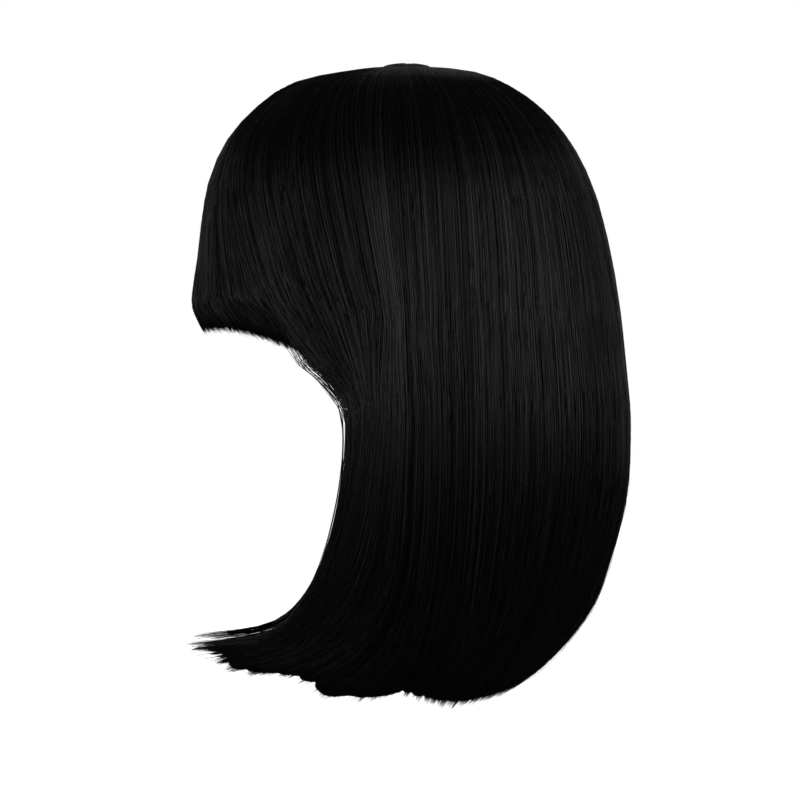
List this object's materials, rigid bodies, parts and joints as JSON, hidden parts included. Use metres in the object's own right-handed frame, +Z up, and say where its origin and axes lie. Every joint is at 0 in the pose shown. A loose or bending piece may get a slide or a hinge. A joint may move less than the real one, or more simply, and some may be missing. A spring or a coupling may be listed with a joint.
{
  "type": "bob wig",
  "caption": "Straight chin-length bob wig with a full fringe; side hair sweeps forward to points, back curls under, and a thin cap inside takes the head.",
  "frame": {"origin": "inner top of the cap, where the crown of the head meets it", "axes": "+X towards the wearer's left, -Y the way the face looks, +Z up"},
  "size_m": [0.2018, 0.2619, 0.3808],
  "materials": {
    "hair": "glossy straight black fibre",
    "crown_skin": "matt dark grey net with hair roots",
    "cap_net": "matt black net"
  },
  "bodies": {
    "root": {"wig_cap": "cap_net", "crown_patch": "crown_skin", "fringe": "hair", "face_lock_left": "hair", "face_lock_right": "hair", "side_curtain_left": "hair", "side_curtain_right": "hair", "back_curtain_left": "hair", "back_curtain_right": "hair"}
  },
  "joints": []
}
